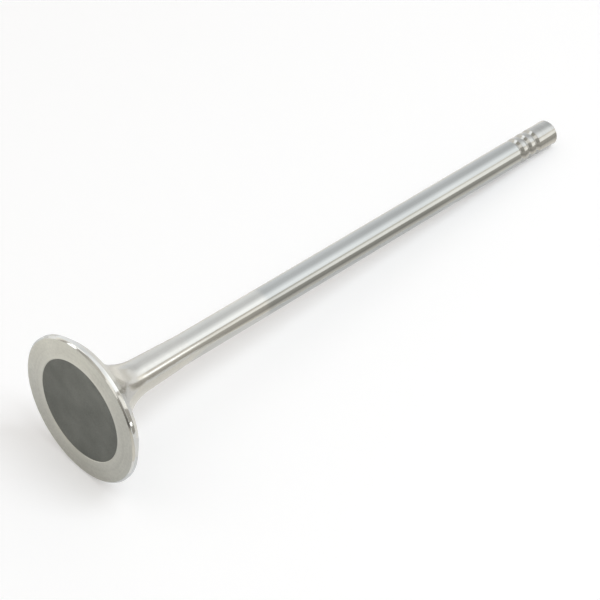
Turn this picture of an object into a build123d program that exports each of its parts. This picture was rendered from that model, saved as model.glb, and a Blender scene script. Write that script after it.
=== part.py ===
# Engine poppet valve, one forged and turned piece of steel.
#
# The valve stands on its head. The origin is the centre of the combustion
# face, and +Z runs along the stem to the tip, so the whole form is one half
# section turned about Z.

from build123d import *
from math import cos, radians, sin, tan
import os

os.makedirs("parts", exist_ok=True)

# Driving dimensions, in millimetres and degrees.
overall_length = 116.0         # combustion face to tip
head_diameter = 26.0
stem_diameter = 5.0

# Combustion face: a flat turned ring around a shallow dish.
dish_diameter = 18.4
dish_depth = 0.4               # on the axis
dish_lip = 0.1                 # bevel where the dish meets the ring
face_chamfer = 0.3             # between the ring and the margin

# Edge of the head: cylindrical margin, ground seat, then the underside.
margin_height = 0.95           # face to the lower edge of the seat
seat_angle = 45.0              # from the plane of the face
seat_width = 1.25              # measured across the radius
underside_angle = 25.0         # from the plane of the face

# Neck: a large fillet, then a slow taper that runs out on the stem.
neck_radius = 10.5
taper_angle = 2.6              # from the axis
taper_end = 22.0               # height where the stem becomes a cylinder

# Keeper grooves: three in a row near the tip, V-shaped with a round bottom.
groove_count = 3
groove_pitch = 2.2
groove_wall_angle = 45.0       # from the axis
groove_bottom_radius = 0.25
groove_depth = 0.5
groove_edge_radius = 0.1
tip_land = 5.8                 # tip to the middle of the nearest groove
tip_chamfer = 0.35

# Worked out from the above.
head_radius = head_diameter / 2
stem_radius = stem_diameter / 2
dish_radius = dish_diameter / 2

# Corners of the half section, as (radius, height).
dish_centre = (0, dish_depth)
dish_edge = (dish_radius - dish_lip, dish_lip)
ring_inner = (dish_radius, 0)
ring_outer = (head_radius, 0)
seat_outer = (head_radius, margin_height)
seat_inner = (head_radius - seat_width, margin_height + seat_width * tan(radians(seat_angle)))
taper_top = (stem_radius, taper_end)
tip_edge = (stem_radius, overall_length)
tip_centre = (0, overall_length)

# The underside and the taper are two straight cones. This is the corner
# where their lines cross, before the neck fillet rounds it off.
underside_slope = tan(radians(underside_angle))   # height gained per radius lost
taper_slope = tan(radians(taper_angle))           # radius gained per height lost
height_at_stem = seat_inner[1] + (seat_inner[0] - stem_radius) * underside_slope
drop_to_corner = taper_end - height_at_stem
corner_height = height_at_stem - drop_to_corner * taper_slope * underside_slope / (
    1 - taper_slope * underside_slope
)
neck_corner = (stem_radius + (taper_end - corner_height) * taper_slope, corner_height)

groove_heights = [overall_length - tip_land - i * groove_pitch for i in range(groove_count)]

# The round bottom touches both walls of a groove. This is where it does.
bottom_centre_radius = stem_radius - groove_depth + groove_bottom_radius
touch_radius = bottom_centre_radius - groove_bottom_radius * cos(radians(groove_wall_angle))
touch_half_width = groove_bottom_radius * sin(radians(groove_wall_angle))
wall_slope = tan(radians(groove_wall_angle))      # radius gained per height
groove_half_width = touch_half_width + (stem_radius - touch_radius) / wall_slope

# The tool is wider than the groove, so that it cuts right through the surface.
tool_radius = stem_radius + groove_edge_radius
tool_half_width = groove_half_width + groove_edge_radius / wall_slope

with BuildPart() as valve:
    with BuildSketch(Plane.XZ) as half_section:
        with BuildLine():
            # The dish leaves the axis at a right angle, so it is part of a sphere.
            TangentArc(dish_centre, dish_edge, tangent=(1, 0))
            Polyline(
                dish_edge,
                ring_inner,
                ring_outer,
                seat_outer,
                seat_inner,
                neck_corner,
                taper_top,
                tip_edge,
                tip_centre,
                dish_centre,
            )
        make_face()
        fillet(half_section.vertices().sort_by_distance(neck_corner)[0], radius=neck_radius)
        chamfer(half_section.vertices().sort_by_distance(ring_outer)[0], length=face_chamfer)
        chamfer(half_section.vertices().sort_by_distance(tip_edge)[0], length=tip_chamfer)

        # Keeper grooves: two walls and a round bottom each.
        with Locations(*[(0, height) for height in groove_heights]):
            Polygon(
                (touch_radius, -touch_half_width),
                (tool_radius, -tool_half_width),
                (tool_radius, tool_half_width),
                (touch_radius, touch_half_width),
                align=None,
                mode=Mode.SUBTRACT,
            )
        with Locations(*[(bottom_centre_radius, height) for height in groove_heights]):
            Circle(groove_bottom_radius, mode=Mode.SUBTRACT)

        # The sharp edges of the grooves are broken. They all lie on the stem.
        on_stem = half_section.vertices().filter_by_position(
            Axis.X, stem_radius - 0.001, stem_radius + 0.001
        )
        groove_edges = on_stem.filter_by_position(
            Axis.Y,
            groove_heights[-1] - groove_half_width - groove_edge_radius,
            groove_heights[0] + groove_half_width + groove_edge_radius,
        )
        fillet(groove_edges, radius=groove_edge_radius)
    revolve(axis=Axis.Z)

valve.part.label = "valve"
export_step(valve.part, "parts/valve.step")
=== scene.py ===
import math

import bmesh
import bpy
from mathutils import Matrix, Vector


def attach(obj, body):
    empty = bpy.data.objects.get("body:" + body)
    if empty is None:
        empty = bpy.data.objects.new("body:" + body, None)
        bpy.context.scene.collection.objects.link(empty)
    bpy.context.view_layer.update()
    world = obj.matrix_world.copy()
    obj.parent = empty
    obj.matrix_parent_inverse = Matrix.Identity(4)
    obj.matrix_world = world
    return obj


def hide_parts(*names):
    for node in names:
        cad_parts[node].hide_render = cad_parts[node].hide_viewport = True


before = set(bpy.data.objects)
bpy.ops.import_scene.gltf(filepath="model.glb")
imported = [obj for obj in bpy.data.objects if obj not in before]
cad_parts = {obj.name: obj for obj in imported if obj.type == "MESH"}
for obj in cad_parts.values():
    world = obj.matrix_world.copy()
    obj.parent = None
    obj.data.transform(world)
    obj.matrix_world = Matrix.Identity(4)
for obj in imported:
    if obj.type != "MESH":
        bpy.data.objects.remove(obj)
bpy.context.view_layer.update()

# %% [markdown]
# # A poppet valve from an engine
# This lesson dresses one imported CAD part, a slender poppet valve. The real valve starts as a forged
# steel slug. Its face, margin, seat, neck and stem are then turned and ground about one axis, so one
# line spun round that axis gives nearly its whole shape. Most of the work goes into how each band of
# steel is finished, and into what polished steel has to reflect.

mm = 0.001

# %% [markdown]
# ## The valve's own sizes
# A valve drawing gives its widths as diameters and its places as heights above the face. The same few
# numbers drive the spun mesh here, in millimetres, so that a wrong one is easy to see and to mend.

# %% Driving sizes in millimetres
overall_length = 116.0
head_radius = 13.0
stem_radius = 2.5
dish_radius = 9.2
dish_depth = 0.4
dish_lip = 0.1
face_chamfer = 0.3
margin_height = 0.95
seat_width = 1.25
underside_angle = math.radians(25.0)
neck_radius = 10.5
taper_angle = math.radians(2.6)
taper_end = 22.0
groove_count = 3
groove_pitch = 2.2
groove_wall = math.radians(45.0)
groove_nose = 0.25
groove_depth = 0.5
tip_land = 5.8
tip_chamfer = 0.35
print("head is", round(head_radius / stem_radius, 2), "stem diameters across")

# %% [markdown]
# ## One line, drawn like a pen
# The half section could be typed as a long list of points, but then no number in it means anything.
# Here a pen walks from the middle of the face to the middle of the tip. A straight run extrudes the
# last vertex, and a round run spins it about the centre of its arc, so each step is one a turner
# would name. The line stands in the XZ plane, with X as the radius.

# %% A pen that draws the half section
profile = bmesh.new()


def at(radius, height):
    """A point of the half section, in millimetres."""
    return Vector((radius, 0.0, height))


def line_to(last, radius, height):
    """Extrudes the last vertex in a straight run, and gives the new end."""
    made = bmesh.ops.extrude_vert_indiv(profile, verts=[last])["verts"][0]
    made.co = at(radius, height)
    return made


def arc_to(last, centre, turn, steps):
    """Spins the last vertex about a centre in the section's plane, and gives the new end."""
    made = bmesh.ops.spin(profile, geom=[last], cent=centre, axis=(0.0, 1.0, 0.0), angle=turn, steps=steps)
    return next(item for item in made["geom_last"] if isinstance(item, bmesh.types.BMVert))


# %% [markdown]
# ## The dished face, the ring and the seat
# The combustion face has a shallow dish, like the bowl of a spoon, inside a flat turned ring. The dish
# is part of a large sphere. The sphere's radius follows from how wide and how deep the dish is.
# Outside the ring come a broken edge, the upright margin, and the 45 degree seat that seals the port.

# %% Drawing the head
sharp = []
dish_steps = 12
dish_edge = dish_radius - dish_lip
dish_rise = dish_depth - dish_lip
dish_sphere = (dish_edge ** 2 + dish_rise ** 2) / (2.0 * dish_rise)
dish_turn = math.asin(dish_edge / dish_sphere)
pen = profile.verts.new(at(0.0, dish_depth))
pen = arc_to(pen, at(0.0, dish_depth - dish_sphere), dish_turn, dish_steps)
sharp.append(pen)
for radius, height in (
    (dish_radius, 0.0),
    (head_radius - face_chamfer, 0.0),
    (head_radius, face_chamfer),
    (head_radius, margin_height),
    (head_radius - seat_width, margin_height + seat_width),
):
    pen = line_to(pen, radius, height)
    sharp.append(pen)
print("dish is part of a sphere of", round(dish_sphere, 1), "mm radius, ending at", pen.co)

# %% [markdown]
# ## The tulip neck
# Behind the seat the head runs in at 25 degrees and then sweeps up into a slow taper. The sweep is one
# arc that touches both straight runs. A bevel would only come near that arc, because a bevel's round
# is squeezed when its corner isn't square. So the arc's centre is worked out instead: it lies one neck
# radius away from both runs, which is two straight-line equations.

# %% Drawing the neck and the taper
neck_steps = 40
taper_slope = math.tan(taper_angle)
underside_slope = math.tan(underside_angle)
from_taper = stem_radius + taper_end * taper_slope + neck_radius / math.cos(taper_angle)
from_underside = pen.co.z + pen.co.x * underside_slope + neck_radius / math.cos(underside_angle)
neck_z = (from_underside - underside_slope * from_taper) / (1.0 - taper_slope * underside_slope)
neck_x = from_taper - taper_slope * neck_z
pen = line_to(
    pen,
    neck_x - neck_radius * math.sin(underside_angle),
    neck_z - neck_radius * math.cos(underside_angle),
)
neck_turn = math.pi / 2.0 - underside_angle - taper_angle
pen = arc_to(pen, at(neck_x, neck_z), neck_turn, neck_steps)
print("neck arc ends at radius", round(pen.co.x, 3), "height", round(pen.co.z, 3))
pen = line_to(pen, stem_radius, taper_end)

# %% [markdown]
# ## The stem, its keeper grooves and the tip
# Split keepers bite into three small grooves near the tip. Each is a V with walls at 45 degrees. The
# round nose of the cutting tool leaves a small arc at the bottom, which both walls touch, so the arc's
# ends follow from the wall's angle. The loop draws one groove after another, and the same pen then
# goes on up the land to the tip.

# %% Drawing the stem
nose_steps = 10
nose_centre = stem_radius - groove_depth + groove_nose
nose_half = groove_nose * math.sin(groove_wall)
nose_top = nose_centre - groove_nose * math.cos(groove_wall)
groove_half = nose_half + (stem_radius - nose_top) / math.tan(groove_wall)
lowest_groove = overall_length - tip_land - (groove_count - 1) * groove_pitch
for number in range(groove_count):
    middle = lowest_groove + number * groove_pitch
    pen = line_to(pen, stem_radius, middle - groove_half)
    sharp.append(pen)
    pen = line_to(pen, nose_top, middle - nose_half)
    pen = arc_to(pen, at(nose_centre, middle), 2.0 * groove_wall, nose_steps)
    pen = line_to(pen, stem_radius, middle + groove_half)
    sharp.append(pen)
    print("groove", number + 1, "at", round(middle, 2), "mm, mouth", round(2 * groove_half, 2), "mm")
for radius, height in (
    (stem_radius, overall_length - tip_chamfer),
    (stem_radius - tip_chamfer, overall_length),
):
    pen = line_to(pen, radius, height)
    sharp.append(pen)
line_to(pen, 0.0, overall_length)

# %% [markdown]
# ## Broken edges
# No machined edge is a perfect corner. The turner breaks each one with a touch of a stone, and that
# tiny round is what catches a glint. Beveling the corner vertices of the line, before it is spun,
# rounds every edge of the finished valve in one call.

# %% Breaking the edges of the line
broken_edge = 0.05
bmesh.ops.bevel(
    profile,
    geom=sharp,
    offset=broken_edge,
    offset_type="OFFSET",
    affect="VERTICES",
    segments=4,
    profile=0.5,
    material=-1,
)
print("half section has", len(profile.verts), "points")

# %% [markdown]
# ## Spinning the line into the valve
# A full spin turns the line into the whole skin. The two ends of the line lie on the axis, where the
# spin leaves one copy of them for every step, so the doubles are merged there. Only then are the
# normals worked out again, because a spin can leave a skin inside out. The valve was drawn in
# millimetres, where the merging distance is easy to choose, and is scaled to metres last.

# %% Spinning
spin_steps = 256
bmesh.ops.spin(
    profile,
    geom=profile.verts[:] + profile.edges[:],
    cent=(0.0, 0.0, 0.0),
    axis=(0.0, 0.0, 1.0),
    angle=2.0 * math.pi,
    steps=spin_steps,
    use_merge=True,
)
bmesh.ops.remove_doubles(profile, verts=profile.verts, dist=1e-4)
bmesh.ops.recalc_face_normals(profile, faces=profile.faces)
open_edges = sum(1 for edge in profile.edges if not edge.is_manifold)
print(len(profile.faces), "faces,", open_edges, "open edges, volume", round(profile.calc_volume(), 1), "mm3")

# %% [markdown]
# ## Where the camera and the table are
# In its own frame the valve stands on its head, with the stem along +Z. Seen as a catalogue shows it,
# it lies on a white table, and only the rim of the head and the edge of the tip touch. The valve must
# stay where the CAD put it, so the table is turned up to the valve instead. Its lean follows from the
# two places that touch.

# %% The table's three directions
side_down = Vector((-1.0, 1.0, 0.0)).normalized()
stem_way = Vector((0.0, 0.0, 1.0))
lean = math.atan2(head_radius - stem_radius, overall_length - tip_chamfer - margin_height)
table_up = -(side_down * math.cos(lean) + stem_way * math.sin(lean))
touch = (side_down * head_radius + stem_way * margin_height) * mm
stem_heading = math.radians(44.75)
stem_flat = (stem_way - table_up * stem_way.dot(table_up)).normalized()
table_right = Matrix.Rotation(-stem_heading, 3, table_up) @ stem_flat
table_back = table_up.cross(table_right)
print("the stem leans", round(math.degrees(lean), 2), "degrees to the table")


# %% [markdown]
# Everything in the studio is placed by an azimuth, an elevation and a distance, like a star. Azimuth 0
# is the viewer's right, 90 is away from the viewer, and elevation is above the table.

# %% Placing by azimuth and elevation
def toward(azimuth, elevation):
    """The unit direction at an azimuth and an elevation, both in degrees."""
    around = math.radians(azimuth)
    above = math.radians(elevation)
    flat = table_right * math.cos(around) + table_back * math.sin(around)
    return flat * math.cos(above) + table_up * math.sin(above)


def turned_to(direction, upward):
    """The turn that points an object's -Z along a direction, with its Y near upward."""
    back = -direction.normalized()
    side = upward.cross(back).normalized()
    return Matrix((side, back.cross(side), back)).transposed().to_4x4()


# %% [markdown]
# ## The camera
# A long lens seen from 45 degrees above the table keeps the stem slim and the head round. The camera
# is level with the table, so its picture has no roll.

# %% Camera
camera_aim = Vector((0.38, 2.99, 46.92)) * mm
camera_distance = 330.4 * mm
camera_azimuth = -90.0
camera_elevation = 44.58
camera_lens = 116.05
sensor_width = 36.0
camera_data = bpy.data.cameras.new("camera")
camera_data.lens = camera_lens
camera_data.sensor_width = sensor_width
camera_data.clip_start = 0.01
camera = bpy.data.objects.new("camera", camera_data)
camera_way = toward(camera_azimuth, camera_elevation)
camera_place = Matrix.Translation(camera_aim + camera_way * camera_distance)
camera.matrix_world = camera_place @ turned_to(-camera_way, table_up)
bpy.context.scene.collection.objects.link(camera)
bpy.context.scene.camera = camera
print("camera at", [round(v / mm, 1) for v in camera.matrix_world.translation])

# %% [markdown]
# ## One way to write a finish
# Every finish here is metal that a tool has passed round and round the axis, so the same few nodes
# come back in each. Short helpers wire them up. Each takes the node tree that it adds to, and a value
# that it is given may be a plain number or colour, or the socket of another node.

# %% Starting a finish
mix_colours = (6, 7)
mix_result = 2
noise_middle = (0.3, 0.7)


def new_finish(name):
    """An empty Principled material, with its node tree and its shader."""
    material = bpy.data.materials.new(name)
    material.use_nodes = True
    tree = material.node_tree
    return material, tree, tree.nodes["Principled BSDF"]


def give(tree, socket, value):
    """Gives a socket a number or a colour, or links another socket to it."""
    if isinstance(value, bpy.types.NodeSocket):
        tree.links.new(value, socket)
    elif isinstance(value, tuple):
        socket.default_value = (*value, 1.0)
    else:
        socket.default_value = value


def math_node(tree, operation, first, second):
    """A Math node on two numbers or sockets."""
    node = tree.nodes.new("ShaderNodeMath")
    node.operation = operation
    give(tree, node.inputs[0], first)
    give(tree, node.inputs[1], second)
    return node.outputs["Value"]


def mixed(tree, share, first, second):
    """A colour between two colours, by a share from 0 to 1."""
    node = tree.nodes.new("ShaderNodeMix")
    node.data_type = "RGBA"
    give(tree, node.inputs["Factor"], share)
    give(tree, node.inputs[mix_colours[0]], first)
    give(tree, node.inputs[mix_colours[1]], second)
    return node.outputs[mix_result]


def from_to(tree, value, low, high, ends=noise_middle, curve="LINEAR"):
    """Maps one range, by itself the middle of a noise, to another, and clamps it."""
    node = tree.nodes.new("ShaderNodeMapRange")
    node.interpolation_type = curve
    node.inputs["From Min"].default_value = ends[0]
    node.inputs["From Max"].default_value = ends[1]
    node.inputs["To Min"].default_value = low
    node.inputs["To Max"].default_value = high
    tree.links.new(value, node.inputs["Value"])
    return node.outputs["Result"]


print("a noise is read between", noise_middle)

# %% [markdown]
# ## Where a mark lies
# A tool's marks follow the radius on the face, and the height on the stem. Noise is stretched into
# rings by feeding it the place along the profile, closely spaced, with only a little of the direction
# round the axis. Because the direction is a point on a circle, and not an angle, the rings have no
# seam. Clouds are plain noise at the object's own place, for what no tool has drawn out.

# %% Rings and clouds
def axis_places(tree):
    """The object's position, the radius, the height and the direction round the axis."""
    place = tree.nodes.new("ShaderNodeTexCoord").outputs["Object"]
    flat = tree.nodes.new("ShaderNodeVectorMath")
    flat.operation = "MULTIPLY"
    flat.inputs[1].default_value = (1.0, 1.0, 0.0)
    tree.links.new(place, flat.inputs[0])
    length = tree.nodes.new("ShaderNodeVectorMath")
    length.operation = "LENGTH"
    tree.links.new(flat.outputs["Vector"], length.inputs[0])
    direction = tree.nodes.new("ShaderNodeVectorMath")
    direction.operation = "NORMALIZE"
    tree.links.new(flat.outputs["Vector"], direction.inputs[0])
    split = tree.nodes.new("ShaderNodeSeparateXYZ")
    tree.links.new(place, split.inputs["Vector"])
    return {
        "place": place,
        "radius": length.outputs["Value"],
        "height": split.outputs["Z"],
        "direction": direction.outputs["Vector"],
    }


def noise_at(tree, place, scale, detail):
    """Noise from 0 to 1, read at a place."""
    node = tree.nodes.new("ShaderNodeTexNoise")
    node.inputs["Scale"].default_value = scale
    node.inputs["Detail"].default_value = detail
    tree.links.new(place, node.inputs["Vector"])
    return node.outputs["Fac"]


def ring_marks(tree, places, along, pitch, wander, detail):
    """Rings about the axis, a pitch in millimetres apart, that wander a little on the way round."""
    split = tree.nodes.new("ShaderNodeSeparateXYZ")
    tree.links.new(places["direction"], split.inputs["Vector"])
    join = tree.nodes.new("ShaderNodeCombineXYZ")
    tree.links.new(math_node(tree, "MULTIPLY", split.outputs["X"], wander), join.inputs["X"])
    tree.links.new(math_node(tree, "MULTIPLY", split.outputs["Y"], wander), join.inputs["Y"])
    tree.links.new(math_node(tree, "DIVIDE", places[along], pitch * mm), join.inputs["Z"])
    return noise_at(tree, join.outputs["Vector"], 1.0, detail)


def clouds(tree, places, size, detail):
    """Soft blotches of about a size in millimetres."""
    return noise_at(tree, places["place"], 1.0 / (size * mm), detail)


# %% [markdown]
# ## From marks to metal
# The same rings do two jobs on bare metal. They vary the roughness, and they raise a relief a few
# thousandths of a millimetre deep. The shader also stretches every reflection across them, which is
# what makes turned steel look turned. One function does all of this, and a second one adds a colour
# that drifts between two close greys.

# %% Worked steel
quarter_turn = 0.25


def raised(tree, height, depth, strength, under=None):
    """A relief from a height of 0 to 1, that many millimetres deep."""
    node = tree.nodes.new("ShaderNodeBump")
    node.inputs["Strength"].default_value = strength
    node.inputs["Distance"].default_value = depth * mm
    tree.links.new(height, node.inputs["Height"])
    if under is not None:
        tree.links.new(under, node.inputs["Normal"])
    return node.outputs["Normal"]


def round_the_axis(tree, shader, amount):
    """Stretches reflections across the tool's marks, which run round the axis."""
    tangent = tree.nodes.new("ShaderNodeTangent")
    tangent.direction_type = "RADIAL"
    tangent.axis = "Z"
    tree.links.new(tangent.outputs["Tangent"], shader.inputs["Tangent"])
    shader.inputs["Anisotropic"].default_value = amount
    shader.inputs["Anisotropic Rotation"].default_value = quarter_turn


def worked_steel(name, along, pitch, wander, detail, roughness, depth, strength, stretch):
    """Bare metal with a tool's marks, without its colour yet."""
    material, tree, shader = new_finish(name)
    places = axis_places(tree)
    marks = ring_marks(tree, places, along, pitch, wander, detail)
    tree.links.new(from_to(tree, marks, *roughness), shader.inputs["Roughness"])
    tree.links.new(raised(tree, marks, depth, strength), shader.inputs["Normal"])
    shader.inputs["Metallic"].default_value = 1.0
    round_the_axis(tree, shader, stretch)
    return material, tree, shader, places, marks


def between(tree, noise, low, high):
    """A colour that follows a noise from one colour to another."""
    return mixed(tree, from_to(tree, noise, 0.0, 1.0), low, high)


def steel_finish(name, low, high, haze_size=None, haze_detail=2.0, **work):
    """Worked steel whose colour follows soft clouds or, with no cloud size, its own marks."""
    material, tree, shader, places, marks = worked_steel(name, **work)
    noise = clouds(tree, places, haze_size, haze_detail) if haze_size else marks
    tree.links.new(between(tree, noise, low, high), shader.inputs["Base Color"])
    return material


def told(material):
    """Prints how many nodes a finish has, and passes the finish on."""
    print(material.name, "is made of", len(material.node_tree.nodes), "nodes")
    return material


# %% [markdown]
# ## The turned ring
# The flat ring round the dish is left as the lathe cut it: satin, with fine rings and a faint grain.
# Beside the dish its colour is a little lighter, in a narrow band. It mirrors only the broad light
# and dark of the table, softly. Its tone adds three noises up, which seldom peak together, so the sum
# is read from its middle.

# %% Turned ring
ring_dark = (0.522, 0.518, 0.471)
ring_light = (0.616, 0.612, 0.556)
# The ring's colour is lighter in a narrow band beside the dish, fading out over this width.
paler_edge_colour = (0.70, 0.695, 0.63)
paler_edge_share = 0.45
paler_edge_width = 1.3
grain_size = 0.5
sum_middle = (1.2, 1.8)


def turned_ring_finish():
    """Satin steel with turned rings, a faint grain and a lighter band at the inner edge."""
    material, tree, shader, places, marks = worked_steel(
        "turned_ring",
        along="radius",
        pitch=0.20,
        wander=0.6,
        detail=2.0,
        roughness=(0.30, 0.42),
        depth=0.004,
        strength=0.5,
        stretch=0.5,
    )
    haze = clouds(tree, places, 6.0, 3.0)
    grain = clouds(tree, places, grain_size, 2.0)
    total = math_node(tree, "ADD", haze, math_node(tree, "ADD", grain, marks))
    colour = mixed(tree, from_to(tree, total, 0.0, 1.0, sum_middle), ring_dark, ring_light)
    # The colour turns lighter toward the dish, over a narrow band beside its edge.
    inner_edge = (dish_radius * mm, (dish_radius + paler_edge_width) * mm)
    paler_edge = from_to(tree, places["radius"], paler_edge_share, 0.0, inner_edge, "SMOOTHSTEP")
    tree.links.new(mixed(tree, paler_edge, colour, paler_edge_colour), shader.inputs["Base Color"])
    return material


ring_steel = told(turned_ring_finish())

# %% [markdown]
# ## The dark dish
# The dish is not machined bright. It keeps a dense, dark grey coat, slightly green, that is nearly
# matt. It is darker and less metallic than bare steel, but still a little glossy when seen low.

# %% Dark dish
dish_dark = (0.135, 0.141, 0.127)
dish_light = (0.193, 0.201, 0.181)
dish_metal = 0.6
dish_grain_size = 0.25


def dark_dish_finish():
    """Dense dark grey coat with faint blotches and a fine grain."""
    material, tree, shader = new_finish("dark_dish")
    places = axis_places(tree)
    marks = ring_marks(tree, places, "radius", pitch=0.4, wander=1.2, detail=3.0)
    haze = clouds(tree, places, 5.0, 4.0)
    grain = clouds(tree, places, dish_grain_size, 2.0)
    tree.links.new(between(tree, haze, dish_dark, dish_light), shader.inputs["Base Color"])
    tree.links.new(from_to(tree, grain, 0.45, 0.60), shader.inputs["Roughness"])
    turned = raised(tree, marks, depth=0.004, strength=0.4)
    grained = raised(tree, grain, depth=0.006, strength=0.4, under=turned)
    tree.links.new(grained, shader.inputs["Normal"])
    shader.inputs["Metallic"].default_value = dish_metal
    return material


dish_coat = told(dark_dish_finish())

# %% [markdown]
# ## The ground margin and seat
# The margin and the seat are ground to a mirror. The grinding leaves lines too fine to see, but they
# draw every reflection out along the valve, so the reflection stays sharp only round the rim. The seat
# is lapped after that, which leaves it a little greyer than the margin.

# %% Ground margin and seat
grinding = {
    "along": "height",
    "pitch": 0.08,
    "wander": 0.4,
    "detail": 2.0,
    "depth": 0.001,
    "strength": 0.3,
    "stretch": 0.5,
    "haze_size": 4.0,
}
margin_dark = (0.72, 0.72, 0.69)
margin_light = (0.79, 0.79, 0.76)
seat_dark = (0.60, 0.60, 0.57)
seat_light = (0.67, 0.67, 0.64)
margin_steel = told(
    steel_finish("ground_margin", margin_dark, margin_light, roughness=(0.08, 0.15), **grinding)
)
seat_steel = told(steel_finish("lapped_seat", seat_dark, seat_light, roughness=(0.12, 0.20), **grinding))

# %% [markdown]
# ## The satin neck
# The neck is turned and then brushed with a belt, so it is softer than the stem and a touch warmer.
# Its marks are wider apart and wander more than those on the ring.

# %% Satin neck
neck_dark = (0.61, 0.60, 0.565)
neck_light = (0.69, 0.68, 0.645)
neck_steel = told(
    steel_finish(
        "satin_neck",
        neck_dark,
        neck_light,
        haze_size=7.0,
        haze_detail=3.0,
        along="height",
        pitch=0.22,
        wander=0.9,
        detail=3.0,
        roughness=(0.15, 0.22),
        depth=0.003,
        strength=0.4,
        stretch=0.5,
    )
)

# %% [markdown]
# ## The polished stem
# The stem runs in a guide, so it is ground and then polished. The guided length, which starts a little
# above the taper, carries a hard plated layer. The plating is darker and cooler than the bare steel,
# and it starts with a soft edge.

# %% Polished stem
plating_start = 39.4
plating_fade = 0.8
bare_dark = (0.612, 0.608, 0.577)
bare_light = (0.672, 0.668, 0.637)
plate_dark = (0.508, 0.519, 0.507)
plate_light = (0.553, 0.564, 0.552)


def polished_stem_finish():
    """Ground and polished stem, darker and cooler where it is plated."""
    material, tree, shader, places, marks = worked_steel(
        "polished_stem",
        along="height",
        pitch=0.12,
        wander=0.5,
        detail=2.0,
        roughness=(0.12, 0.17),
        depth=0.001,
        strength=0.3,
        stretch=0.6,
    )
    haze = clouds(tree, places, 10.0, 2.0)
    bare = between(tree, haze, bare_dark, bare_light)
    plate = between(tree, haze, plate_dark, plate_light)
    edge = ((plating_start - plating_fade) * mm, (plating_start + plating_fade) * mm)
    plated = from_to(tree, places["height"], 0.0, 1.0, edge, "SMOOTHSTEP")
    tree.links.new(mixed(tree, plated, bare, plate), shader.inputs["Base Color"])
    return material


stem_steel = told(polished_stem_finish())

# %% [markdown]
# ## The keeper grooves and the tip
# The grooves are formed and not polished, and the tip is ground flat and hardened. Both are a plainer
# grey than the stem, and their colour follows the tool's marks, because they are too small for clouds.

# %% Grooves and tip
groove_dark = (0.49, 0.49, 0.47)
groove_light = (0.58, 0.58, 0.56)
tip_dark = (0.50, 0.495, 0.465)
tip_light = (0.60, 0.595, 0.565)
groove_steel = told(
    steel_finish(
        "keeper_grooves",
        groove_dark,
        groove_light,
        along="height",
        pitch=0.10,
        wander=0.5,
        detail=2.0,
        roughness=(0.10, 0.16),
        depth=0.002,
        strength=0.3,
        stretch=0.3,
    )
)
tip_steel = told(
    steel_finish(
        "hardened_tip",
        tip_dark,
        tip_light,
        along="radius",
        pitch=0.12,
        wander=0.8,
        detail=2.0,
        roughness=(0.24, 0.34),
        depth=0.003,
        strength=0.4,
        stretch=0.4,
    )
)

# %% [markdown]
# ## Giving each band of the valve its finish
# The line was one piece, so the skin is one piece too, as the real valve is. A face finds its band by
# how high it lies, and the face of the head is parted by radius. The bands meet on the edges that
# were drawn for them, so no finish cuts across a face.

# %% Finishing the valve
bands = (
    ("dish", dish_coat),
    ("ring", ring_steel),
    ("margin", margin_steel),
    ("seat", seat_steel),
    ("neck", neck_steel),
    ("stem", stem_steel),
    ("grooves", groove_steel),
    ("tip", tip_steel),
)
band_number = {name: number for number, (name, material) in enumerate(bands)}
band_tops = (
    ("ring", broken_edge / 2.0),
    ("margin", margin_height),
    ("seat", margin_height + seat_width),
    ("neck", taper_end),
    ("stem", lowest_groove - groove_half - broken_edge),
    ("grooves", overall_length - tip_chamfer - broken_edge),
)


def band_of(centre):
    """The name of the band that a point of the skin lies in, in millimetres."""
    radius = math.hypot(centre.x, centre.y)
    if centre.z < dish_depth and radius < dish_edge:
        return "dish"
    if centre.z < dish_depth and radius < dish_radius + broken_edge:
        return "ring"
    return next((name for name, top in band_tops if centre.z < top), "tip")


counts = dict.fromkeys(band_number, 0)
for face in profile.faces:
    band = band_of(face.calc_center_median())
    face.material_index = band_number[band]
    face.smooth = True
    counts[band] += 1
print("faces in each band:", counts)

# %% [markdown]
# ## The finished piece
# The object sits at the origin, unturned and unscaled, with its place in its mesh. A Weighted Normal
# modifier keeps the flats and the long cylinder shading flat right up to their broken edges. The
# piece then takes the place of the plain CAD solid, on the same body.

# %% The finished piece
bmesh.ops.scale(profile, vec=(mm, mm, mm), verts=profile.verts)
valve_mesh = bpy.data.meshes.new("valve_steelwork")
profile.to_mesh(valve_mesh)
profile.free()
for name, material in bands:
    valve_mesh.materials.append(material)
valve = bpy.data.objects.new("valve_steelwork", valve_mesh)
bpy.context.scene.collection.objects.link(valve)
weighted = valve.modifiers.new("flat_flats", "WEIGHTED_NORMAL")
weighted.weight = 100
weighted.keep_sharp = True
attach(valve, "root")
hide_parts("valve")
print("valve has", len(valve_mesh.polygons), "faces")

# %% [markdown]
# ## The table
# The table is a plain white sheet. It turns its back to three of the four sides of the valve, so it is
# made one-sided: a face seen from behind lets the light and the camera through. The lift of the white
# is given only to rays that carry a picture, so no extra light falls on the valve.

# %% A white that is lifted where it is seen
def ray_kinds(tree, *kinds):
    """1 for rays of any of these kinds, which the Light Path node tells apart."""
    path = tree.nodes.new("ShaderNodeLightPath")
    found = path.outputs[kinds[0]]
    for kind in kinds[1:]:
        found = math_node(tree, "MAXIMUM", found, path.outputs[kind])
    return found


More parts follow.
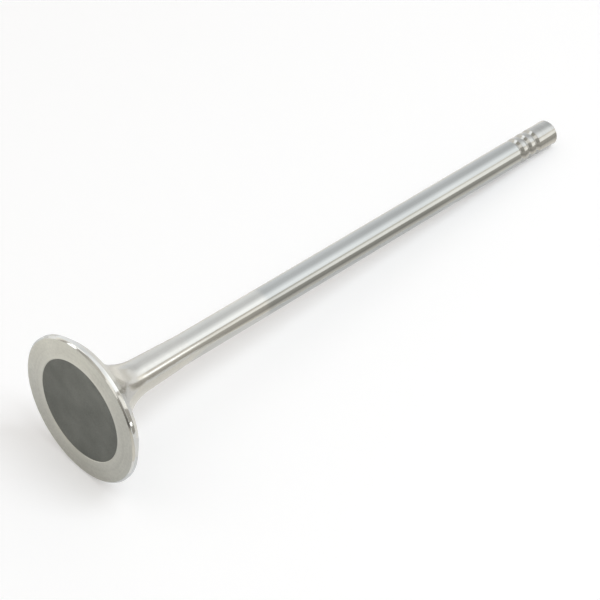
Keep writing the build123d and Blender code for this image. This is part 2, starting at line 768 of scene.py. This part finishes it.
def one_sided_white(name, white, seen_lift, mirror_lift):
    """White sheet that is there only from its front, lifted as seen and as mirrored."""
    material, tree, shader = new_finish(name)
    tree.nodes.remove(shader)
    sheet = tree.nodes.new("ShaderNodeBsdfDiffuse")
    sheet.inputs["Color"].default_value = (white, white, white, 1.0)
    seen = math_node(tree, "MULTIPLY", ray_kinds(tree, "Is Camera Ray", "Is Transmission Ray"), seen_lift)
    mirrored = math_node(tree, "MULTIPLY", ray_kinds(tree, "Is Glossy Ray"), mirror_lift)
    glow = tree.nodes.new("ShaderNodeEmission")
    tree.links.new(math_node(tree, "MAXIMUM", seen, mirrored), glow.inputs["Strength"])
    front = tree.nodes.new("ShaderNodeAddShader")
    tree.links.new(sheet.outputs["BSDF"], front.inputs[0])
    tree.links.new(glow.outputs["Emission"], front.inputs[1])
    behind = tree.nodes.new("ShaderNodeBsdfTransparent")
    geometry = tree.nodes.new("ShaderNodeNewGeometry")
    side = tree.nodes.new("ShaderNodeMixShader")
    tree.links.new(geometry.outputs["Backfacing"], side.inputs["Fac"])
    tree.links.new(front.outputs["Shader"], side.inputs[1])
    tree.links.new(behind.outputs["BSDF"], side.inputs[2])
    tree.links.new(side.outputs["Shader"], tree.nodes["Material Output"].inputs["Surface"])
    return material


table_white = told(one_sided_white("table_white", white=0.80, seen_lift=0.26, mirror_lift=0.08))

# %% [markdown]
# The sheet itself is one face of a grid. Its middle lies under the middle of the stem.

# %% Table
table_size = 0.5


def stage_object(name, shape, material):
    """Turns a bmesh into a stage object with one material, and frees the bmesh."""
    mesh = bpy.data.meshes.new(name)
    shape.to_mesh(mesh)
    shape.free()
    mesh.materials.append(material)
    made = bpy.data.objects.new(name, mesh)
    bpy.context.scene.collection.objects.link(made)
    return made


table_middle = touch + stem_flat * (overall_length / 2.0 * mm)
table_turn = Matrix((table_right, table_back, table_up)).transposed().to_4x4()
table_sheet = bmesh.new()
bmesh.ops.create_grid(table_sheet, x_segments=1, y_segments=1, size=table_size / 2.0)
table_place = Matrix.Translation(table_middle) @ table_turn
bmesh.ops.transform(table_sheet, matrix=table_place, verts=table_sheet.verts)
table = stage_object("table", table_sheet, table_white)
print("table faces", [round(v, 2) for v in table.data.polygons[0].normal])

# %% [markdown]
# ## The world and the lamps
# One large soft lamp stands high on the right, a little toward the viewer, so the stem's shadow falls
# just behind and beneath it and the head's falls to the left. A weaker one fills from the left. The
# world adds the rest, at less than full strength to matt things and as plain white to rays that carry
# a picture. The big lamp is a touch cool and the world a touch warm. Together they are neutral, and
# only the shadows turn warm. The lamps are kept out of reflections, because those are made by the
# screens below.

# %% World
ambient = 0.42
white_tint = (1.0, 1.0, 1.0)
shade_tint = (1.06, 1.0, 0.94)
key_tint = (0.948, 1.0, 1.052)
world = bpy.data.worlds.new("studio")
bpy.context.scene.world = world
world.use_nodes = True
sky_tree = world.node_tree
sky = sky_tree.nodes["Background"]
shown = ray_kinds(sky_tree, "Is Camera Ray", "Is Glossy Ray", "Is Transmission Ray")
sky_tree.links.new(mixed(sky_tree, shown, shade_tint, white_tint), sky.inputs["Color"])
sky_tree.links.new(from_to(sky_tree, shown, ambient, 1.0, (0.0, 1.0)), sky.inputs["Strength"])
print("the world gives", ambient, "of the light on the table")

# %% [markdown]
# A lamp's energy is hard to guess, so each lamp is told which share of the table's light it gives. Its
# brightness follows from its size, its distance and how high it stands.

# %% Lamps
studio_middle = stem_way * (0.45 * overall_length * mm)


def lamp(name, azimuth, elevation, distance, size, share, tint):
    """A soft square lamp that faces the valve and gives that share of the light on the table."""
    data = bpy.data.lights.new(name, "AREA")
    data.color = tint
    data.shape = "SQUARE"
    data.size = size
    brightness = share * math.pi * distance ** 2 / (size ** 2 * math.sin(math.radians(elevation)))
    data.energy = brightness * math.pi * size ** 2
    made = bpy.data.objects.new(name, data)
    way = toward(azimuth, elevation)
    made.matrix_world = Matrix.Translation(studio_middle + way * distance) @ turned_to(-way, table_up)
    made.visible_camera = False
    made.visible_glossy = False
    bpy.context.scene.collection.objects.link(made)
    print(name, "is", round(brightness, 1), "whites bright")


lamp("right_lamp", azimuth=-20.0, elevation=62.0, distance=0.9, size=0.55, share=0.48, tint=key_tint)
lamp("left_lamp", azimuth=170.0, elevation=60.0, distance=0.9, size=0.8, share=0.10, tint=white_tint)

# %% [markdown]
# ## Screens for the reflections
# A polished part is a picture of its surroundings. Small metal things are shown between white and dark
# screens, which draw the light and dark lines along the metal. A screen here is a sheet that only
# reflections see. It is a chain of edges, each extruded from the one before it. Each end of an edge
# has its own brightness, as a share of white, which fades into the next one across the sheet.

# %% Screens
cool = (0.98, 1.0, 1.02)
warm = (1.0, 0.98, 0.93)
brown = (1.0, 0.96, 0.88)


def glow_of(name, tint):
    """Light of its own, as bright as the mesh's glow attribute says."""
    material, tree, shader = new_finish(name)
    tree.nodes.remove(shader)
    glow = tree.nodes.new("ShaderNodeEmission")
    glow.inputs["Color"].default_value = (*tint, 1.0)
    read = tree.nodes.new("ShaderNodeAttribute")
    read.attribute_name = "glow"
    tree.links.new(read.outputs["Fac"], glow.inputs["Strength"])
    tree.links.new(glow.outputs["Emission"], tree.nodes["Material Output"].inputs["Surface"])
    return material


def screen(name, tint, edges):
    """A sheet through edges, each given by its two ends and their glow, that only reflections see."""
    sheet = bmesh.new()
    glow_layer = sheet.verts.layers.float.new("glow")
    edge = None
    for first, second, first_level, second_level in edges:
        if edge is None:
            ends = [sheet.verts.new(), sheet.verts.new()]
            edge = sheet.edges.new(ends)
        else:
            made = bmesh.ops.extrude_edge_only(sheet, edges=[edge])["geom"]
            edge = next(item for item in made if isinstance(item, bmesh.types.BMEdge))
            ends = [item for item in made if isinstance(item, bmesh.types.BMVert)]
        for end, place, level in zip(ends, (first, second), (first_level, second_level)):
            end.co = place
            end[glow_layer] = level
    made = stage_object(name, sheet, glow_of(name, tint))
    made.visible_camera = False
    made.visible_diffuse = False
    made.visible_shadow = False
    made.visible_transmission = False
    print(name, "has", len(made.data.polygons), "panels")


# %% [markdown]
# ## A tunnel along the stem
# The first screens make half a tunnel in line with the stem. A roof runs from the pale wall on the
# left to a bright edge, and a warm window closes the right. A dark seam hangs a little nearer, where
# the two meet, and draws the thin dark line along the stem. The roof changes on the way: the porch is
# what the seat sees, the head roof is what the margin sees, and the strips after it belong to the
# stem. Angles go round the stem, from straight up toward the viewer's right, and places along it are
# in metres.

# %% Roof, from the left to the bright edge
tunnel_radius = 0.6
stem_right = stem_way.cross(table_up).normalized()
stem_above = stem_right.cross(stem_way)
porch_end = 0.20
head_roof_end = 0.35


def round_stem(angle, place, radius=tunnel_radius):
    """A point at an angle round the stem, a place along it and a distance from it."""
    turn = math.radians(angle)
    return (stem_above * math.cos(turn) + stem_right * math.sin(turn)) * radius + stem_way * place


def strip(name, tint, start, end, levels, first_gain=1.0, last_gain=1.0):
    """A part of the roof between two places along the stem, from rows of angle and glow."""
    edges = [
        (round_stem(angle, start), round_stem(angle, end), level * first_gain, level * last_gain)
        for angle, level in levels
    ]
    screen(name, tint, edges)


porch = (
    (-100, 1.00),
    (-54, 0.90),
    (-50, 1.50),
    (-26, 1.50),
    (-20, 0.48),
    (-4, 0.48),
    (8, 1.10),
    (34, 1.05),
    (42, 0.50),
    (100, 0.45),
)
head_roof = (
    (-100, 1.00),
    (-60, 0.92),
    (-35, 0.80),
    (-18, 0.95),
    (-10, 1.03),
    (14, 1.05),
    (22, 1.25),
    (42, 1.25),
)
roof = ((-100, 1.00), (-60, 0.92), (-35, 0.78), (-12, 0.80), (10, 1.20), (22, 1.44), (42, 1.38))
roof_gains = ((head_roof_end, 1.0), (0.46, 1.02), (0.515, 1.05), (0.575, 0.95), (0.90, 0.95))
strip("porch", warm, 0.0, porch_end, porch)
strip("head_roof", cool, porch_end, head_roof_end, head_roof)
for (start, first_gain), (end, last_gain) in zip(roof_gains, roof_gains[1:]):
    strip("roof", cool, start, end, roof, first_gain, last_gain)

# %% [markdown]
# The window and the seam are built the other way, one edge after another along the stem. The window
# starts where the roof ends. The seam starts half a degree on, and it widens and fades toward the tip.

# %% Window and seam
roof_edge = 42.0
window_end = 100.0
seam_start = 42.5
seam_radius = 0.5
window = ((0.20, 1.05), (0.36, 1.05), (0.40, 1.12), (0.43, 1.44), (0.52, 1.42), (0.90, 1.38))
seam = (
    (0.20, 47.5, 0.45),
    (0.29, 48.0, 0.45),
    (0.32, 54.0, 0.62),
    (0.356, 55.0, 0.64),
    (0.39, 56.0, 0.80),
    (0.44, 55.0, 0.98),
    (0.54, 54.0, 1.08),
    (0.85, 54.0, 1.18),
)


def across_tunnel(place, first_angle, last_angle, level, radius=tunnel_radius):
    """An edge of the tunnel at a place along the stem, between two angles, with its glow."""
    return round_stem(first_angle, place, radius), round_stem(last_angle, place, radius), level, level


screen("window", warm, [across_tunnel(place, roof_edge, window_end, level) for place, level in window])
screen(
    "seam",
    brown,
    [across_tunnel(place, seam_start, end, level, seam_radius) for place, end, level in seam],
)

# %% [markdown]
# ## A dark card on the table
# A dark card stands on the table to the right of the valve, low at the tip and tall at the head. It
# draws the dark line along the stem's lower side. A skirt lies before it on the table and fades toward
# the stem, so the line has one sharp edge and one soft one. A thin bright line floats above the card
# for the taper, and a small glint stands before it for the margin. Places on the table are measured
# in millimetres to the right of, behind and above the point under the middle of the head.

# %% Dark card, skirt and glints
head_rise = -touch.dot(table_up)
sheet_rise = 0.3


def on_table(right, back, above=sheet_rise):
    """A point by its place on the table and its height above it, in millimetres."""
    return table_right * (right * mm) + table_back * (back * mm) + table_up * (above * mm - head_rise)


def standing(rows):
    """Edges that stand up, from rows of right, back, low end, high end and the glow at each."""
    return [(on_table(x, y, low), on_table(x, y, top), *levels) for x, y, low, top, *levels in rows]


card = (
    (62, -40, 0.0, 46.0, 0.36, 0.42),
    (58, -23, 0.0, 38.0, 0.36, 0.42),
    (55, -8, 2.0, 27.5, 0.40, 0.44),
    (54, 3, 7.0, 20.3, 0.50, 0.54),
    (54, 7, 2.5, 18.8, 0.44, 0.54),
    (53, 11, 0.0, 19.0, 0.42, 0.54),
    (56, 18, 0.0, 17.6, 0.36, 0.52),
    (62, 28, 0.0, 14.1, 0.33, 0.52),
    (69, 41, 0.0, 11.1, 0.33, 0.52),
    (77, 57, 0.0, 7.8, 0.34, 0.55),
    (83, 68, 0.0, 5.9, 0.36, 0.58),
    (88, 78, 0.0, 4.3, 0.44, 0.60),
    (97, 94, 0.0, 3.8, 0.44, 0.60),
)
skirt = (
    (54, 3, 43, 7, 0.88, 0.96),
    (54, 6, 42, 11, 0.52, 0.88),
    (53, 11, 40, 22, 0.50, 0.85),
    (56, 18, 43, 30, 0.42, 0.85),
    (62, 28, 50, 37, 0.42, 0.85),
    (69, 41, 59, 48, 0.42, 0.85),
    (77, 57, 70, 62, 0.42, 0.85),
    (83, 68, 78.5, 71, 0.50, 0.95),
    (97, 94, 93.5, 96, 0.70, 1.05),
)
bright_line = (
    (55, -3, 27.0, 32.0, 2.6, 2.6),
    (54, 4, 25.5, 29.5, 2.6, 2.6),
    (54, 9, 24.0, 27.5, 2.6, 2.6),
)
glint = ((55, -26.0, 13, 17, 4.2, 4.2), (55, -21.5, 13, 17, 4.2, 4.2))
screen("dark_card", brown, standing(card))
screen("dark_skirt", brown, [(on_table(x, y), on_table(u, v), *levels) for x, y, u, v, *levels in skirt])
screen("bright_line", cool, standing(bright_line))
screen("glint", cool, standing(glint))

# %% [markdown]
# ## Papers and aprons
# Sheets of paper lie just above the table, where only the reflections see them. A white one left of
# the stem lights the stem's upper edge, a small one lights the lower side of the neck, and one left of
# the head lights the upper half of the face. Three darker aprons, in front of the head, to its left
# and at its foot, keep the ring, the chamfer and the margin from going as white as the table.

# %% Papers beside the stem and the neck
left_way = table_up.cross(stem_flat)
paper_near = 6.0
paper_far = 95.0


def beside_stem(left, place):
    """A point just above the table, left of the stem and along it, in millimetres."""
    return on_table(0.0, 0.0) + left_way * (left * mm) + stem_flat * (place * mm)


def front_to_back(rows):
    """Edges that run away from the viewer, from rows of right, front end, back end and glow."""
    return [(on_table(x, front), on_table(x, back), level, level) for x, front, back, level in rows]


stem_paper = ((30.0, 0.72, 0.78), (50.0, 0.90, 0.95), (66.0, 1.02, 1.10), (260.0, 1.04, 1.14))
neck_paper = ((8, 7, 14, 0.86), (20, 5, 16, 0.88), (40, -2, 12, 0.86))
stem_edges = [
    (beside_stem(paper_near, place), beside_stem(paper_far, place), *levels)
    for place, *levels in stem_paper
]
screen("stem_paper", warm, stem_edges)
screen("neck_paper", warm, front_to_back(neck_paper))

# %% [markdown]
# The aprons run from left to right, one edge behind another. The left one lies a little higher than
# the head paper, and hides the part of it that reaches under.

# %% Aprons and the head paper
upper_sheet_rise = 0.6


def left_to_right(rows, above=sheet_rise):
    """Edges that run across the view, from rows of back, left end, right end and glow."""
    return [
        (on_table(left, y, above), on_table(right, y, above), level, level)
        for y, left, right, level in rows
    ]


apron = (
    (-230, -60, 0, 0.08),
    (-138, -30, 15, 0.18),
    (-95, -22, 22, 0.44),
    (-75, -20, 24, 0.60),
    (-42, -16, 26, 0.66),
    (-18, -12, 28, 0.76),
)
left_apron = ((18, -70, -2, 0.70), (36, -70, -2, 0.72), (58, -110, -30, 0.82))
foot_apron = ((-11, 3, 18, 0.74), (-1, 3, 18, 0.66))
head_paper = ((-28, -80, 60, 0.9), (-55, -80, 60, 1.27), (-160, -80, 60, 1.27))
screen("apron", brown, left_to_right(apron))
screen("left_apron", cool, left_to_right(left_apron, upper_sheet_rise))
screen("foot_apron", cool, left_to_right(foot_apron))
screen("head_paper", warm, front_to_back(head_paper))

# %% [markdown]
# ## Far screens
# The last screens stand far off. A low horizon behind the valve shades the neck. A broad dark front,
# where the camera and its stand would be, shades the walls that face the viewer. A slot of lighter
# strips before it lights the groove walls halfway round, and two small bright screens put a spark on
# the chamfer of the head and one in each groove.

# %% Horizon, front, slot and sparks
front_reach = 3.2
spark_reach = 1.8


def upright(azimuth, low, high, low_level, high_level):
    """An upright edge far off at an azimuth, between two elevations, with its glow."""
    return toward(azimuth, low) * front_reach, toward(azimuth, high) * front_reach, low_level, high_level


def slanted(first, second, level):
    """An edge between two places given by azimuth and elevation, with its glow."""
    return toward(*first) * spark_reach, toward(*second) * spark_reach, level, level


horizon = ((36, -1, 14, 0.82, 0.82), (76, -1, 14, 0.82, 0.82))
front = (
    (146, 20, 76, 1.00, 1.00),
    (159, 2, 76, 0.95, 1.00),
    (162, 2, 76, 0.42, 0.95),
    (166, 2, 76, 0.34, 0.85),
    (170, 2, 76, 0.45, 0.60),
    (-178, -2, 76, 0.45, 0.45),
    (-164, -6, 76, 0.42, 0.50),
    (-143, -8, 76, 0.72, 0.50),
    (-124, -8, 76, 0.52, 0.50),
    (-112, -8, 76, 0.38, 0.60),
    (-102, -8, 76, 0.10, 0.90),
    (-96, -8, 76, 0.03, 0.90),
    (-80, -8, 76, 0.20, 0.80),
    (-60, -8, 76, 0.30, 0.70),
)
slot = (
    ((-112, 18), (-130, 30), 1.02),
    ((-106, 24), (-127, 36), 1.02),
    ((-106, 37), (-133, 49), 1.15),
    ((-96, 43), (-128, 59), 1.15),
    ((-84, 49), (-120, 68), 1.15),
    ((-70, 53), (-100, 76), 1.15),
)
spark = (((168, 19), (180, 19), 1.9), ((168, 33), (180, 31), 1.9))
high_spark = (
    ((168, 31), (-177, 42), 1.55),
    ((164, 36), (-175, 48), 1.55),
    ((154, 40), (176, 57), 1.55),
    ((146, 43), (158, 70), 1.55),
)
screen("horizon", warm, [upright(*row) for row in horizon])
screen("front", brown, [upright(*row) for row in front])
screen("slot", warm, [slanted(*row) for row in slot])
screen("spark", cool, [slanted(*row) for row in spark])
screen("high_spark", cool, [slanted(*row) for row in high_spark])

# %% [markdown]
# ## The last lines
# The colour view is set to Standard, so each colour shows as it is written.

# %% Colour view
bpy.context.scene.view_settings.view_transform = "Standard"
